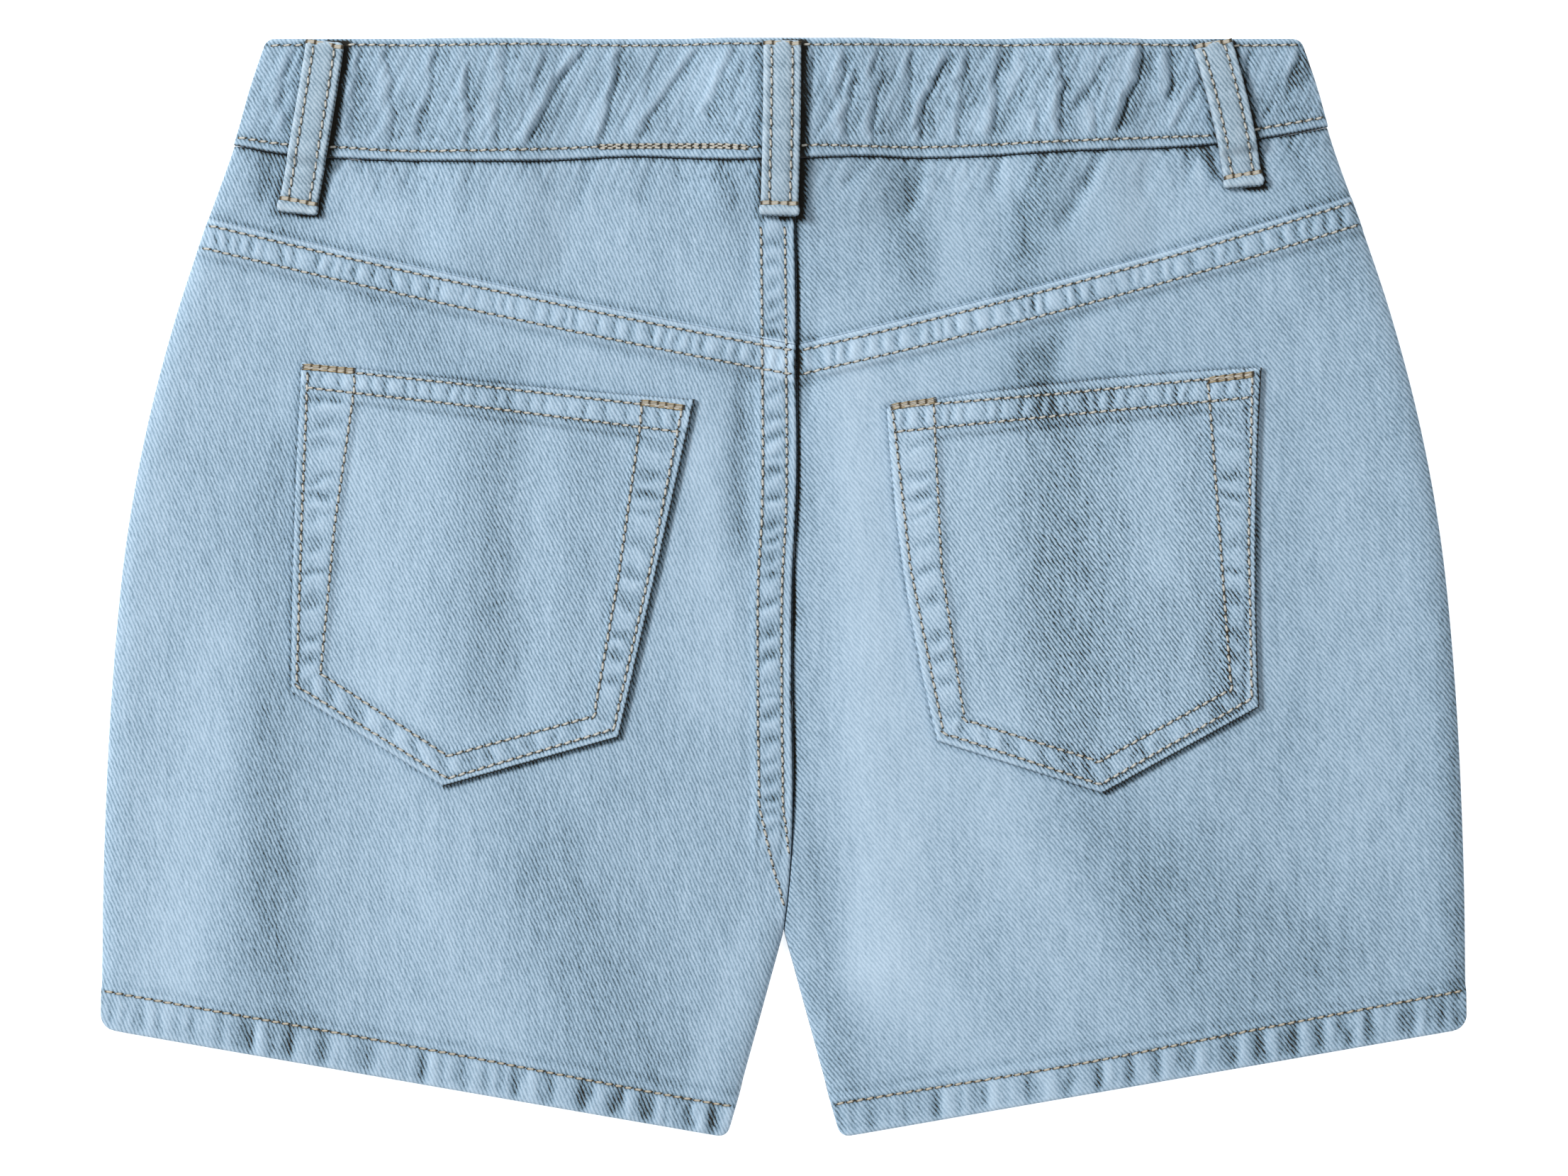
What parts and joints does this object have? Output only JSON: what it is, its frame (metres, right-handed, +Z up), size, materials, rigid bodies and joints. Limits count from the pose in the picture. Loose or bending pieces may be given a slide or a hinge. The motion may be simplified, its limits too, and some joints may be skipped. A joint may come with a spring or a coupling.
{
  "type": "denim shorts laid flat",
  "caption": "Denim shorts lying flat with the back up: gathered waistband, belt loops, slanting yoke, patch pockets and stitched hems.",
  "frame": {"origin": "centre of the box's underside, on the surface that the shorts lie on", "axes": "+X across the shorts towards the wearer's right, +Y up the shorts towards the waist, +Z up from the surface, out of the back"},
  "size_m": [0.3952, 0.3175, 0.0134],
  "materials": {
    "denim": "light blue washed twill",
    "thread": "cream and tan topstitching thread",
    "button_metal": "brushed antique"
  },
  "bodies": {
    "root": {"front_left": "denim", "front_right": "denim", "back_left": "denim", "back_right": "denim", "yoke_left": "denim", "yoke_right": "denim", "back_pocket_left": "denim", "back_pocket_right": "denim", "waistband_back": "denim", "waistband_front_left": "denim", "waistband_front_right": "denim", "belt_loop_back_left": "denim", "belt_loop_back_centre": "denim", "belt_loop_back_right": "denim", "belt_loop_front_left": "denim", "belt_loop_front_right": "denim", "fly_placket": "denim", "button": "button_metal"}
  },
  "joints": []
}
